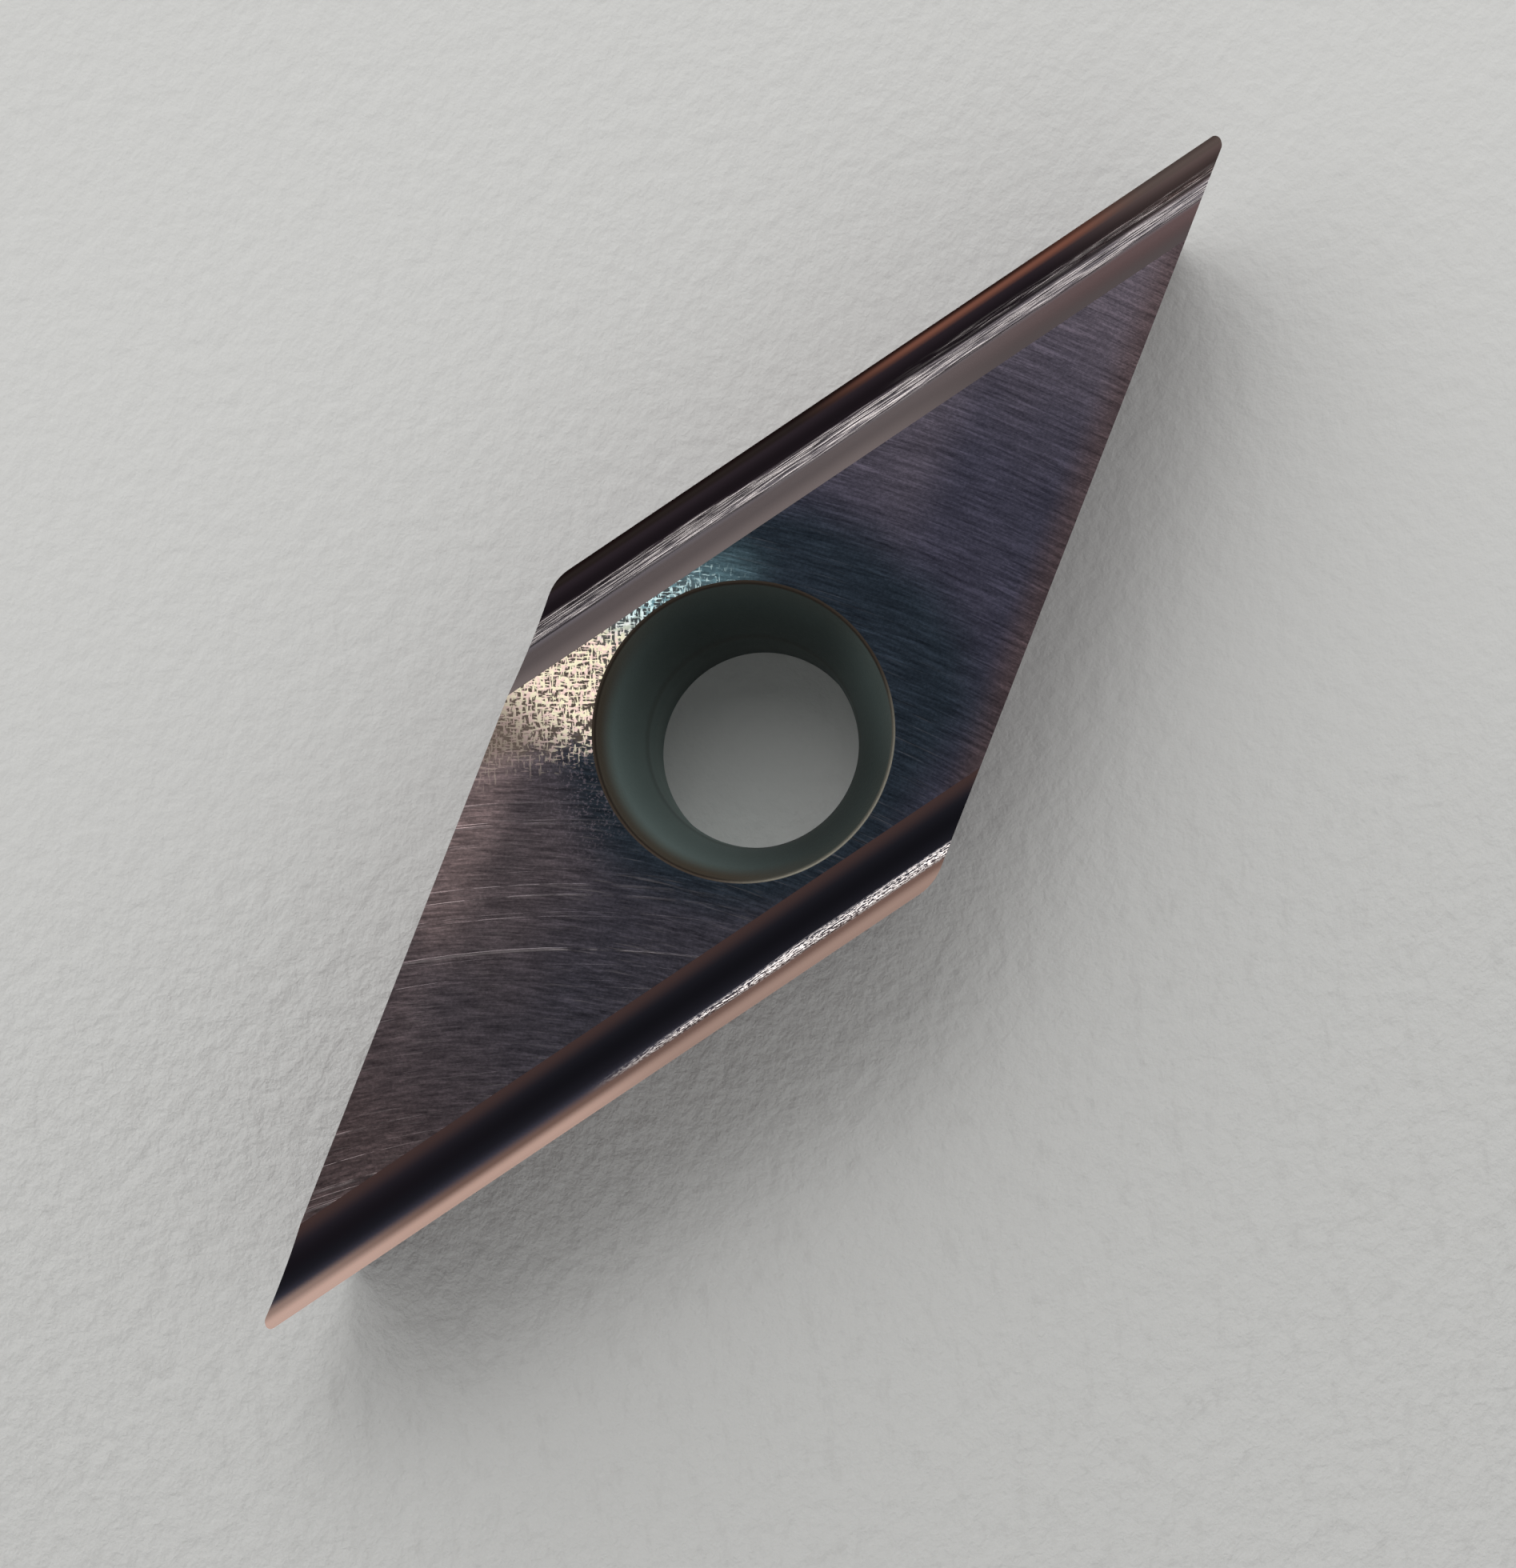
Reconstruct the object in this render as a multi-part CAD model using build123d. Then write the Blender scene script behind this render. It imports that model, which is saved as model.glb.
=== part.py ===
from build123d import *

import math
import os

# Carbide turning insert, 35 degree rhombic, one solid, millimetres.
# Origin: centre of the flat base, on the axis of the screw hole. +Z points up to the grooved
# face and +X along the long diagonal to one of the two sharp corners.

# Outline and block
inscribed_circle = 6.35     # diameter of the circle that touches all four sides of the rake face
corner_angle = 35.0         # angle of the two sharp corners
thickness = 3.18            # base to rake face
relief_angle = 7.0          # lean of the four flanks, inwards from the rake face to the base
nose_radius = 0.1           # sharp, cutting corners
blunt_radius = 0.8          # wide corners, which don't cut

# Screw hole: a plain bore, a slightly drafted throat, then a flared seat for the screw's head
bore_diameter = 2.8
bore_length = 1.1           # plain bore, up from the base
neck_diameter = 2.9         # where the throat meets the flared seat
neck_height = 1.62          # neck, above the base
mouth_diameter = 4.08       # seat at the rake face
seat_radius = 4.6           # flare of the seat, bulging towards the axis
rim_radius = 0.04           # honed rim of the seat's mouth

# Chip groove, ground along one long side of each sharp corner
groove_width = 0.97         # cutting edge to the groove's back border, along the rake face
groove_depth = 0.13         # rake face down to the lowest line of the groove's floor
floor_offset = 0.42         # cutting edge to the lowest line of the floor
land_width = 0.13           # narrow flat behind the cutting edge
land_angle = 28.0           # fall of that flat, away from the edge
edge_drop = 0.005           # cutting edge below the rake face

# Worked out from the sizes above
half_corner = math.radians(corner_angle / 2)
inscribed_radius = inscribed_circle / 2
half_length = inscribed_radius / math.sin(half_corner)
half_width = inscribed_radius / math.cos(half_corner)
side_square = 90 - corner_angle / 2     # direction square to the side between +X and +Y corners
side_length = 2 * inscribed_circle / math.sin(2 * half_corner)
land_fall = land_width * math.tan(math.radians(land_angle))
overrun = inscribed_circle  # how far a cutting tool passes beyond the block

UP = Vector(0, 0, 1)


def flank(side_angle):
    """Plane of one flank, whose outline stands square to the given direction, in degrees."""
    outward = Vector(1, 0, 0).rotate(Axis.Z, side_angle)
    relief = math.radians(relief_angle)
    facing = outward * math.cos(relief) - UP * math.sin(relief)
    return Plane(origin=outward * inscribed_radius + UP * thickness, z_dir=facing)


def rounded_corners(body, across_axis, radius):
    """Body with its two leaning corner edges on one diagonal rounded."""
    leaning = [edge for edge in body.edges() if abs((edge @ 1 - edge @ 0).Z) > thickness / 2]
    corners = [edge for edge in leaning if abs((edge @ 0.5).dot(across_axis)) < radius]
    return fillet(corners, radius)


def block():
    """Rhombic block, flanks leaning in from the rake face to the base, corners rounded."""
    body = extrude(Rectangle(4 * half_length, 4 * half_width), amount=thickness)
    for side_angle in (side_square, 180 - side_square, 180 + side_square, -side_square):
        body = split(body, bisect_by=flank(side_angle), keep=Keep.BOTTOM)
    body = rounded_corners(body, Vector(0, 1, 0), nose_radius)
    return rounded_corners(body, Vector(1, 0, 0), blunt_radius)


def hole_tool():
    """Turned form of the screw hole, from below the base to above the rake face."""
    bore_radius = bore_diameter / 2
    neck = (neck_diameter / 2, neck_height)
    mouth = (mouth_diameter / 2, thickness)
    wall = Polyline((0, -overrun), (bore_radius, -overrun), (bore_radius, bore_length), neck)
    seat = RadiusArc(neck, mouth, seat_radius)
    lid = Polyline(mouth, (mouth[0], thickness + overrun), (0, thickness + overrun), (0, -overrun))
    half_section = Plane.XZ * make_face(wall + seat + lid)
    return revolve(half_section, axis=Axis.Z)


def groove_tool():
    """Form left by the wheel along the cutting edge between the +X and +Y corners."""
    outward = Vector(math.sin(half_corner), math.cos(half_corner), 0)
    edge_middle = outward * inscribed_radius + UP * thickness
    across = Plane(origin=edge_middle, x_dir=-outward, z_dir=(-outward).cross(UP))

    land_start = (-overrun, overrun * math.tan(math.radians(land_angle)) - edge_drop)
    land_end = (land_width, -edge_drop - land_fall)
    floor = (floor_offset, -groove_depth)
    back_border = (groove_width, 0)

    land = Line(land_start, land_end)
    front = TangentArc(floor, land_end, tangent=(-1, 0))
    back = TangentArc(floor, back_border, tangent=(1, 0))
    lid = Polyline(back_border, (groove_width, overrun), (-overrun, overrun), land_start)
    return extrude(across * make_face(land + front + back + lid), amount=side_length, both=True)


def insert():
    """The whole insert: block, screw hole with its honed rim, and a chip groove on two sides."""
    body = block() - hole_tool()
    rim = [edge for edge in body.edges() if edge.geom_type == GeomType.CIRCLE
           and abs(edge.radius - mouth_diameter / 2) < rim_radius]
    body = fillet(rim, rim_radius)
    return body - groove_tool() - Rot(0, 0, 180) * groove_tool()


os.makedirs("parts", exist_ok=True)
export_step(insert(), "parts/insert_body.step")
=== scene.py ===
import logging
import math
from dataclasses import dataclass, field
from enum import Enum
from typing import Any, ClassVar, Iterable, Mapping, Sequence

import bmesh
import bpy
from mathutils import Matrix, Vector
from mathutils.geometry import delaunay_2d_cdt


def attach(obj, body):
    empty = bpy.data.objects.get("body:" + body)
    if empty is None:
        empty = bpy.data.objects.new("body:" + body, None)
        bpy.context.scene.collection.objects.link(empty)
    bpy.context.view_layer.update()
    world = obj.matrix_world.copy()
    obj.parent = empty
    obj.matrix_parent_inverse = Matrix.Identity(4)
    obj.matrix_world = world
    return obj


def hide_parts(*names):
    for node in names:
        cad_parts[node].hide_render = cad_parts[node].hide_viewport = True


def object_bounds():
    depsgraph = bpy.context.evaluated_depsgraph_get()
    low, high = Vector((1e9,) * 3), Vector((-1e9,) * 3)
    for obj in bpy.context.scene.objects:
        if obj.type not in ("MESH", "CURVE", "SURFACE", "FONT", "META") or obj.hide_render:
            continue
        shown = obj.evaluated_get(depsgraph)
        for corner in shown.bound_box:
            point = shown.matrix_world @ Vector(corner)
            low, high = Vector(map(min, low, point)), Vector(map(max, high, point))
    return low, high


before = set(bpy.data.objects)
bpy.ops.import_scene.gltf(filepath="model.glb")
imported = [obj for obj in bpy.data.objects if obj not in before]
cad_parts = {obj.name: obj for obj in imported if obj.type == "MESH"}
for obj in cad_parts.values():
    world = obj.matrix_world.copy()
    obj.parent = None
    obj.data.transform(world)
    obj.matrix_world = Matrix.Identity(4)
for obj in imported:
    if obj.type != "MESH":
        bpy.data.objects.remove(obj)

CAD_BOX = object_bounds()
MM = 0.001
LOG = logging.getLogger("insert")

# Sockets told apart by number, as their names are shared by other kinds of value.
MIX_SHARE, MIX_FIRST, MIX_SECOND, MIX_COLOUR = 0, 6, 7, 2
WHOLE_FIRST, WHOLE_SECOND = 2, 3

Pair = tuple[float, float]
Point = tuple[float, float, float]
Colour = tuple[float, float, float]
Stops = tuple[tuple[float, Colour], ...]
Vert = bmesh.types.BMVert


def lerp(start: float, end: float, share: float) -> float:
    """Value at a share of the way from start to end."""
    return start + (end - start) * share


def spread(start: float, end: float, count: int) -> list[float]:
    """Values at count equal steps after start, the last one at end."""
    return [lerp(start, end, (step + 1) / count) for step in range(count)]


def placed(name: str, data: bpy.types.ID) -> bpy.types.Object:
    """Adds an object to the scene.

    Args:
        name: its name.
        data: its mesh, lamp or camera.

    Returns:
        The object.
    """
    made = bpy.data.objects.new(name, data)
    bpy.context.scene.collection.objects.link(made)
    return made


# ---------------------------------------------------------------- node maths


class Field:
    """Socket of a node tree that takes part in Python expressions."""

    def __init__(self, graph: "Graph", socket: bpy.types.NodeSocket) -> None:
        """Wraps an output socket of a tree that new nodes are added to."""
        self.graph = graph
        self.socket = socket

    def __add__(self, other: "Value") -> "Field":
        """Sum."""
        return self.graph.math("ADD", self, other)

    def __radd__(self, other: "Value") -> "Field":
        """Sum, reflected."""
        return self.graph.math("ADD", other, self)

    def __sub__(self, other: "Value") -> "Field":
        """Difference."""
        return self.graph.math("SUBTRACT", self, other)

    def __rsub__(self, other: "Value") -> "Field":
        """Difference, reflected."""
        return self.graph.math("SUBTRACT", other, self)

    def __mul__(self, other: "Value") -> "Field":
        """Product."""
        return self.graph.math("MULTIPLY", self, other)

    def __rmul__(self, other: "Value") -> "Field":
        """Product, reflected."""
        return self.graph.math("MULTIPLY", other, self)

    def __truediv__(self, other: "Value") -> "Field":
        """Quotient."""
        return self.graph.math("DIVIDE", self, other)

    def __pow__(self, other: "Value") -> "Field":
        """Power."""
        return self.graph.math("POWER", self, other)

    def __abs__(self) -> "Field":
        """Size without sign."""
        return self.graph.math("ABSOLUTE", self)

    def least(self, other: "Value") -> "Field":
        """Smaller of the two."""
        return self.graph.math("MINIMUM", self, other)

    def most(self, other: "Value") -> "Field":
        """Larger of the two."""
        return self.graph.math("MAXIMUM", self, other)

    def rise(self, low: float, high: float) -> "Field":
        """Soft step from 0 at low to 1 at high; low above high makes it fall.

        Args:
            low: value that gives 0.
            high: value that gives 1.

        Returns:
            The step.
        """
        start, end = min(low, high), max(low, high)
        ends = {"To Min": 0.0, "To Max": 1.0} if low < high else {"To Min": 1.0, "To Max": 0.0}
        return self.graph.value(
            "ShaderNodeMapRange",
            {"interpolation_type": "SMOOTHSTEP"},
            {"Value": self, "From Min": start, "From Max": end, **ends},
        )


Value = Field | float
Surface = tuple[Field, Value, Field]


class Graph:
    """Node tree of a material, a world or a modifier."""

    def __init__(self, tree: bpy.types.NodeTree) -> None:
        """Keeps the tree that nodes are added to."""
        self.tree = tree

    def node(
        self,
        kind: str,
        settings: Mapping[str, Any] | None = None,
        inputs: Mapping[str | int, Any] | None = None,
    ) -> bpy.types.Node:
        """Adds a node, sets it up and then feeds its sockets.

        Args:
            kind: node type.
            settings: node settings, with "stops" for the stops of a colour ramp.
            inputs: values or links by socket name or number.

        Returns:
            The node.
        """
        made = self.tree.nodes.new(kind)
        for name, value in (settings or {}).items():
            if name == "stops":
                self._set_stops(made.color_ramp, value)
            else:
                setattr(made, name, value)
        for name, value in (inputs or {}).items():
            self.feed(made.inputs[name], value)
        return made

    def feed(self, socket: bpy.types.NodeSocket, value: Any) -> None:
        """Links a field or socket to an input, or sets the input's own value.

        Args:
            socket: input to feed.
            value: field, socket or plain value.
        """
        if isinstance(value, Field):
            self.tree.links.new(value.socket, socket)
        elif isinstance(value, bpy.types.NodeSocket):
            self.tree.links.new(value, socket)
        elif socket.type == "RGBA" and len(value) == 3:
            socket.default_value = (*value, 1.0)
        else:
            socket.default_value = value

    def value(
        self,
        kind: str,
        settings: Mapping[str, Any] | None = None,
        inputs: Mapping[str | int, Any] | None = None,
        output: str | int = 0,
    ) -> Field:
        """Adds a node, as node does, and gives the output of a name or number."""
        return Field(self, self.node(kind, settings, inputs).outputs[output])

    def math(self, operation: str, *values: Value) -> Field:
        """Math node on one to three values."""
        return self.value("ShaderNodeMath", {"operation": operation}, dict(enumerate(values)))

    def dot(self, vector: Field, direction: Sequence[float]) -> Field:
        """Length of a vector along a direction."""
        inputs = {0: vector, 1: tuple(direction)}
        return self.value("ShaderNodeVectorMath", {"operation": "DOT_PRODUCT"}, inputs, "Value")

    def in_millimetres(self, place: Field) -> Field:
        """Place in metres turned into millimetres."""
        inputs = {0: place, "Scale": 1 / MM}
        return self.value("ShaderNodeVectorMath", {"operation": "SCALE"}, inputs)

    def mix(self, share: Value, first: Any, second: Any, way: str = "MIX") -> Field:
        """Colour between two colours.

        Args:
            share: 0 gives the first colour and 1 the second.
            first: colour or field.
            second: colour or field.
            way: how the two are blended.

        Returns:
            The mixed colour.
        """
        return self.value(
            "ShaderNodeMix",
            {"data_type": "RGBA", "blend_type": way},
            {MIX_SHARE: share, MIX_FIRST: first, MIX_SECOND: second},
            MIX_COLOUR,
        )

    def ramp(self, share: Value, stops: Stops) -> Field:
        """Colour ramp over a value from 0 to 1."""
        return self.value("ShaderNodeValToRGB", {"stops": stops}, {"Fac": share}, "Color")

    def vector(self, x: Value, y: Value, z: Value) -> Field:
        """Vector of three values."""
        return self.value("ShaderNodeCombineXYZ", None, {0: x, 1: y, 2: z})

    def noise(
        self, vector: Field, scale: float = 1.0, detail: float = 2.0, rough: float = 0.5
    ) -> Field:
        """Soft noise over a vector, about 0.5 in the middle.

        Args:
            vector: where the noise is read.
            scale: grains for each unit.
            detail: how many finer layers it has.
            rough: strength of the finer layers.

        Returns:
            The noise.
        """
        return self.value(
            "ShaderNodeTexNoise",
            {"noise_dimensions": "3D"},
            {"Vector": vector, "Scale": scale, "Detail": detail, "Roughness": rough},
        )

    def streaks(
        self, x: Value, y: Value, z: Value, detail: float = 2.0, rough: float = 0.6
    ) -> Field:
        """Noise over three coordinates in grains, drawn out where one of them changes slowly."""
        return self.noise(self.vector(x, y, z), 1.0, detail, rough)

    @staticmethod
    def _set_stops(ramp: bpy.types.ColorRamp, stops: Stops) -> None:
        """Gives a colour ramp its stops.

        Args:
            ramp: ramp of a new node.
            stops: place and colour of each stop.
        """
        while len(ramp.elements) < len(stops):
            ramp.elements.new(1.0)
        for element, (place, colour) in zip(ramp.elements, stops):
            element.position = place
            element.color = (*colour, 1.0)


# ------------------------------------------------------------------- shapes


class Zone(Enum):
    """Surfaces of the insert that are finished apart from each other."""

    RAKE = 0
    GROOVE = 1
    FLANK = 2
    SEAT = 3
    BASE = 4

    @property
    def input(self) -> str:
        """Name of the tree input that takes the zone's finish."""
        return f"{self.name.title()} finish"


class Stretch(Enum):
    """Stretches of the blank's outline near one grooved side."""

    CORNER = 0
    GROOVED = 1
    BEYOND_SHARP = 2
    BEYOND_BLUNT = 3


@dataclass(frozen=True)
class Rim:
    """Place on the blank's outline.

    share is an angle on a rounded corner, and on any other stretch the share of the side's flat.
    sharp tells the sharp corner from the blunt one.
    """

    stretch: Stretch
    sharp: bool
    share: float


@dataclass(frozen=True)
class Blank:
    """Relieved rhombic blank, in millimetres, about the axis of the screw hole."""

    inscribed_circle: float = 6.35
    corner_angle: float = 35.0
    thickness: float = 3.18
    relief_angle: float = 7.0
    nose_radius: float = 0.1
    blunt_radius: float = 0.8

    @property
    def reach(self) -> float:
        """Radius of the inscribed circle."""
        return self.inscribed_circle / 2

    @property
    def relief(self) -> float:
        """Inward run of a flank for each millimetre down."""
        return math.tan(math.radians(self.relief_angle))

    @property
    def outward(self) -> Pair:
        """Direction square to the grooved side, away from the axis."""
        half = math.radians(self.corner_angle / 2)
        return math.sin(half), math.cos(half)

    @property
    def along(self) -> Pair:
        """Direction of the grooved side, from its blunt corner to its sharp one."""
        across = self.outward
        return across[1], -across[0]

    def plan(self, inset: float, run: float) -> Pair:
        """Plan point at a distance in from the grooved side and along it.

        Args:
            inset: distance in from the side.
            run: distance along it from the foot of the axis.

        Returns:
            x and y.
        """
        across, along = self.outward, self.along
        out = self.reach - inset
        return across[0] * out + along[0] * run, across[1] * out + along[1] * run

    def _ellipse(self, sharp: bool, drop: float) -> tuple[float, float, float]:
        """Level section of a rounded corner.

        Args:
            sharp: whether it is the sharp corner or the blunt one.
            drop: depth of the section below the rake face.

        Returns:
            Distance of its centre from the axis, half width along x and half width along y.
        """
        part = self.outward[0] if sharp else self.outward[1]
        radius = self.nose_radius if sharp else self.blunt_radius
        tilt = math.atan(self.relief / part)
        level = math.cos(math.atan(self.relief))
        centre = (self.reach - drop * self.relief - radius / level) / part
        long = radius / math.cos(tilt)
        return (centre, long, radius) if sharp else (centre, radius, long)

    def _touch(self, sharp: bool, drop: float) -> float:
        """Angle on a corner's section where the grooved side's flat begins."""
        _, wide, high = self._ellipse(sharp, drop)
        return math.atan2(self.outward[1] * high, self.outward[0] * wide)

    def corner_point(self, sharp: bool, angle: float, drop: float) -> Pair:
        """Point on a rounded corner.

        Args:
            sharp: whether it is the sharp corner or the blunt one.
            angle: angle on its section.
            drop: depth below the rake face.

        Returns:
            x and y.
        """
        centre, wide, high = self._ellipse(sharp, drop)
        x, y = wide * math.cos(angle), high * math.sin(angle)
        return (centre + x, y) if sharp else (x, centre + y)

    def side_ends(self, drop: float) -> Pair:
        """Where the grooved side's flat begins and ends.

        Args:
            drop: depth below the rake face.

        Returns:
            The two runs along the side.
        """
        runs = []
        for sharp in (False, True):
            x, y = self.corner_point(sharp, self._touch(sharp, drop), drop)
            runs.append(x * self.along[0] + y * self.along[1])
        return runs[0], runs[1]

    def end(self, inset: float, drop: float, sharp: bool) -> Rim:
        """Where a line beside the grooved side leaves the blank.

        Args:
            inset: distance of the line in from the side.
            drop: its depth below the rake face.
            sharp: whether it leaves at the sharp end or the blunt one.

        Returns:
            The place on the blank's outline.
        """
        centre, wide, high = self._ellipse(sharp, drop)
        across = self.outward
        middle = centre * (across[0] if sharp else across[1])
        support = math.hypot(across[0] * wide, across[1] * high)
        turn = math.acos(max(-1.0, min(1.0, (self.reach - inset - middle) / support)))
        touch = self._touch(sharp, drop)
        angle = touch - turn if sharp else touch + turn
        limit = -touch if sharp else math.pi - touch
        if (angle >= limit) if sharp else (angle <= limit):
            return Rim(Stretch.CORNER, sharp, angle)
        both = math.cos(math.radians(self.corner_angle))
        skew = math.sin(math.radians(self.corner_angle))
        reach = self.reach - drop * self.relief
        out = self.reach - inset
        run = (reach + both * out) / skew if sharp else (both * out - reach) / skew
        x, y = self.plan(inset, run)
        low, high_run = self.side_ends(drop)
        mirrored = x * self.along[0] - y * self.along[1]
        share = ((mirrored if sharp else -mirrored) - low) / (high_run - low)
        return Rim(Stretch.BEYOND_SHARP if sharp else Stretch.BEYOND_BLUNT, sharp, share)

    def rim_point(self, rim: Rim, drop: float) -> Pair:
        """Point of the outline at a depth.

        Args:
            rim: place on the outline.
            drop: depth below the rake face.

        Returns:
            x and y.
        """
        if rim.stretch is Stretch.CORNER:
            return self.corner_point(rim.sharp, rim.share, drop)
        low, high = self.side_ends(drop)
        x, y = self.plan(drop * self.relief, lerp(low, high, rim.share))
        if rim.stretch is Stretch.GROOVED:
            return x, y
        return (x, -y) if rim.stretch is Stretch.BEYOND_SHARP else (-x, y)


@dataclass(frozen=True)
class OutlinePoint:
    """Vertex of the rake face's outline, its place there, its depth and its half of the insert."""

    vert: Vert
    rim: Rim
    drop: float
    turn: float


@dataclass(frozen=True)
class GrooveForm:
    """Section of the ground chip groove, in millimetres from the cutting edge."""

    width: float = 0.97
    depth: float = 0.13
    floor_offset: float = 0.42
    land_width: float = 0.13
    land_angle: float = 28.0
    edge_drop: float = 0.005
    land_rows: tuple[float, ...] = (
        0.0004, 0.0015, 0.004, 0.008, 0.014, 0.022, 0.032, 0.044, 0.058, 0.074, 0.092,
    )
    land_gap: float = 0.01
    fine_rows: Pair = (0.22, 0.62)
    rows_in_band: tuple[int, int, int] = (7, 60, 18)

    @property
    def land_slope(self) -> float:
        """Fall of the land for each millimetre from the edge."""
        return math.tan(math.radians(self.land_angle))

    def edge_inset(self, relief: float) -> float:
        """Inset of the cutting edge, which a lowered land draws in along the flank."""
        return relief * self.edge_drop / (1 - relief * self.land_slope)

    def drop(self, inset: float) -> float:
        """Depth of the groove below the rake face.

        Args:
            inset: distance in from the nominal edge.

        Returns:
            The depth.
        """
        land_end = self.edge_drop + self.land_width * self.land_slope
        if inset <= self.land_width:
            return self.edge_drop + inset * self.land_slope
        if inset <= self.floor_offset:
            span = self.floor_offset - self.land_width
            return self._arc(span, self.depth - land_end, self.floor_offset - inset)
        if inset < self.width:
            return self._arc(self.width - self.floor_offset, self.depth, inset - self.floor_offset)
        return 0.0

    def _arc(self, span: float, rise: float, away: float) -> float:
        """Depth on an arc that is level at the floor and rises over a span."""
        radius = (span * span + rise * rise) / (2 * rise)
        return self.depth - radius + math.sqrt(radius * radius - away * away)

    def stations(self, relief: float) -> list[float]:
        """Insets of the mesh lines that run along the groove, closest on its floor.

        Args:
            relief: inward run of the flank for each millimetre down.

        Returns:
            The insets, from the edge inwards.
        """
        first = self.edge_inset(relief)
        land = [first + step for step in self.land_rows]
        land = [inset for inset in land if inset < self.land_width - self.land_gap]
        start, stop = self.fine_rows
        front, floor, back = self.rows_in_band
        return [
            first, *land, self.land_width,
            *spread(self.land_width, start, front),
            *spread(start, stop, floor),
            *spread(stop, self.width, back),
        ]


@dataclass(frozen=True)
class ScrewHole:
    """Plain bore, drafted throat and flared seat, with a honed mouth, in millimetres."""

    bore_radius: float = 1.4
    bore_length: float = 1.1
    neck_radius: float = 1.45
    neck_height: float = 1.62
    mouth_radius: float = 2.04
    seat_radius: float = 4.6
    rim_radius: float = 0.04
    around: int = 240
    rim_steps: int = 7
    seat_steps: int = 26
    throat_steps: int = 4
    bore_steps: int = 6

    def _seat_centre(self, top: float) -> Pair:
        """Centre of the seat's arc, outside the hole.

        Args:
            top: height of the rake face.

        Returns:
            Its radius and height.
        """
        wide, high = self.mouth_radius - self.neck_radius, top - self.neck_height
        chord = math.hypot(wide, high)
        away = math.sqrt(self.seat_radius**2 - (chord / 2) ** 2)
        return (
            (self.mouth_radius + self.neck_radius) / 2 + away * high / chord,
            (top + self.neck_height) / 2 - away * wide / chord,
        )

    def rings(self, top: float) -> list[Pair]:
        """Radius and height of each ring of the hole, from the rake face to the base.

        Args:
            top: height of the rake face.

        Returns:
            The rings.
        """
        centre = self._seat_centre(top)
        inner = self.seat_radius - self.rim_radius
        ball_height = top - self.rim_radius
        ball = centre[0] - math.sqrt(inner**2 - (ball_height - centre[1]) ** 2)
        lean = math.atan2(ball_height - centre[1], ball - centre[0])
        neck = math.atan2(self.neck_height - centre[1], self.neck_radius - centre[0])
        top_turns = [math.pi / 2, *spread(math.pi / 2, lean, self.rim_steps)]
        rim = self._arc((ball, ball_height), self.rim_radius, top_turns)
        seat_turns = spread(lean, neck % (2 * math.pi), self.seat_steps)
        seat = self._arc(centre, self.seat_radius, seat_turns)
        throat = list(zip(
            spread(self.neck_radius, self.bore_radius, self.throat_steps),
            spread(self.neck_height, self.bore_length, self.throat_steps),
        ))
        down = spread(self.bore_length, 0.0, self.bore_steps)
        return rim + seat + throat + [(self.bore_radius, height) for height in down]

    @staticmethod
    def _arc(
        centre: Pair, radius: float, turns: Sequence[float]
    ) -> list[Pair]:
        """Points of an arc at the given turns."""
        x, y = centre
        return [(x + radius * math.cos(turn), y + radius * math.sin(turn)) for turn in turns]


@dataclass
class HalfRake:
    """Grid of one groove: rows along it, their outline places, and which half it is."""

    rows: list[list[Vert]]
    ends: list[tuple[Rim, Rim, float]]
    turn: float


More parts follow.
